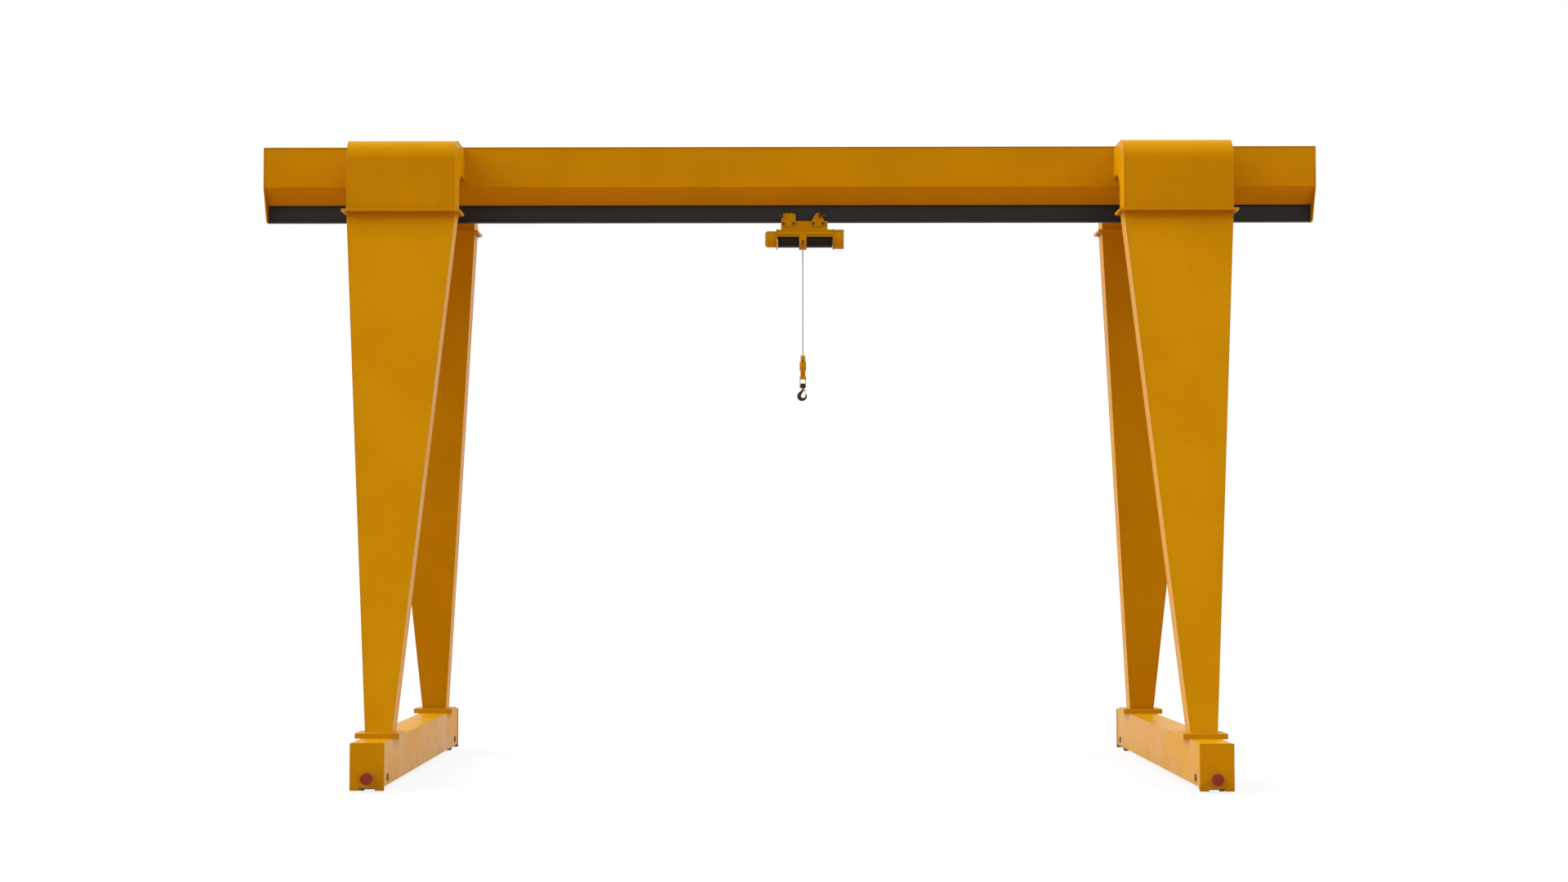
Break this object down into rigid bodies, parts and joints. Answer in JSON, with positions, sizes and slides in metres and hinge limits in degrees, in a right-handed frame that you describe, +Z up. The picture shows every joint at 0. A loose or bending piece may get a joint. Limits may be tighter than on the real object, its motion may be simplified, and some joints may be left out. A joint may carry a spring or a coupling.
{
  "type": "gantry crane",
  "caption": "Single-girder gantry crane on tapered box legs and wheeled carriages, with a rope hoist and hook that travel along the girder.",
  "frame": {"origin": "on the floor under the wheels, halfway between the two carriages and between their ends", "axes": "+X along the girder, +Y from the front legs to the rear legs, +Z up"},
  "size_m": [16.632, 9.39, 9.8219],
  "materials": {
    "yellow_paint": "satin",
    "dark_paint": "satin",
    "dark_steel": "satin",
    "wheel_steel": "satin",
    "bolt_steel": "satin",
    "rope_steel": "satin",
    "red_rubber": "matte"
  },
  "bodies": {
    "crane_frame": {"girder_trough": "yellow_paint", "girder_top_plate": "yellow_paint", "runway_beam": "dark_paint", "girder_end_plate_left": "yellow_paint", "girder_end_plate_right": "yellow_paint", "saddle_front_left": "yellow_paint", "joint_plates_front_left": "yellow_paint", "leg_front_left": "yellow_paint", "saddle_rear_left": "yellow_paint", "joint_plates_rear_left": "yellow_paint", "leg_rear_left": "yellow_paint", "foot_pads_left": "yellow_paint", "carriage_left": "yellow_paint", "carriage_end_plates_left": "yellow_paint", "carriage_buffers_left": "red_rubber", "wheel_axles_left": "bolt_steel", "saddle_front_right": "yellow_paint", "joint_plates_front_right": "yellow_paint", "leg_front_right": "yellow_paint", "saddle_rear_right": "yellow_paint", "joint_plates_rear_right": "yellow_paint", "leg_rear_right": "yellow_paint", "foot_pads_right": "yellow_paint", "carriage_right": "yellow_paint", "carriage_end_plates_right": "yellow_paint", "carriage_buffers_right": "red_rubber", "wheel_axles_right": "bolt_steel"},
    "wheel_front_left": {"travel_wheel_front_left": "wheel_steel"},
    "wheel_front_right": {"travel_wheel_front_right": "wheel_steel"},
    "wheel_rear_left": {"travel_wheel_rear_left": "wheel_steel"},
    "wheel_rear_right": {"travel_wheel_rear_right": "wheel_steel"},
    "hoist": {"drum_casing": "yellow_paint", "casing_rings": "yellow_paint", "gearbox_housing": "yellow_paint", "motor_housing": "yellow_paint", "rope_guide": "yellow_paint", "hoist_rope": "rope_steel", "hoist_cradle": "yellow_paint", "trolley_plates_front": "yellow_paint", "trolley_plates_rear": "yellow_paint", "trolley_ties": "bolt_steel", "trolley_wheels": "dark_steel", "buffer_brackets": "dark_steel", "trolley_buffers": "red_rubber"},
    "drum": {"rope_drum": "dark_steel"},
    "hook_block": {"block_cover": "yellow_paint", "block_straps": "yellow_paint", "crosshead": "dark_steel"},
    "hook": {"hook": "dark_steel"},
    "latch": {"hook_latch": "yellow_paint"}
  },
  "joints": [
    {"name": "wheel_spin_front_left", "type": "hinge", "parent": "crane_frame", "child": "wheel_front_left", "pos_m": [-6, -4.17, 0.194], "axis": [1, 0, 0], "continuous": true},
    {"name": "wheel_spin_front_right", "type": "hinge", "parent": "crane_frame", "child": "wheel_front_right", "pos_m": [6, -4.17, 0.194], "axis": [1, 0, 0], "continuous": true},
    {"name": "wheel_spin_rear_left", "type": "hinge", "parent": "crane_frame", "child": "wheel_rear_left", "pos_m": [-6, 4.17, 0.194], "axis": [1, 0, 0], "continuous": true},
    {"name": "wheel_spin_rear_right", "type": "hinge", "parent": "crane_frame", "child": "wheel_rear_right", "pos_m": [6, 4.17, 0.194], "axis": [1, 0, 0], "continuous": true},
    {"name": "trolley_travel", "type": "slide", "parent": "crane_frame", "child": "hoist", "axis": [1, 0, 0], "range_m": [-8.14, 7.66]},
    {"name": "hook_lift", "type": "slide", "parent": "hoist", "child": "hook_block", "axis": [0, 0, 1], "range_m": [-5.6, 1.5], "deforming": ["hoist_rope"]},
    {"name": "drum_spin", "type": "hinge", "parent": "hoist", "child": "drum", "pos_m": [0.227, 0, 8.4], "axis": [1, 0, 0], "range_deg": [-1400, 5000]},
    {"name": "hook_swivel", "type": "hinge", "parent": "hook_block", "child": "hook", "pos_m": [0.227, 0, 6.03], "axis": [0, 0, 1], "continuous": true},
    {"name": "latch_hinge", "type": "hinge", "parent": "hook", "child": "latch", "pos_m": [0.231, 0, 5.994], "axis": [0, 1, 0], "range_deg": [0, 28], "stiffness_Nm_per_rad": 0.5, "springref_deg": -17.19}
  ],
  "couplings": [
    {"joint": "drum_spin", "follows": "hook_lift", "rad_per_m": -15.152}
  ]
}
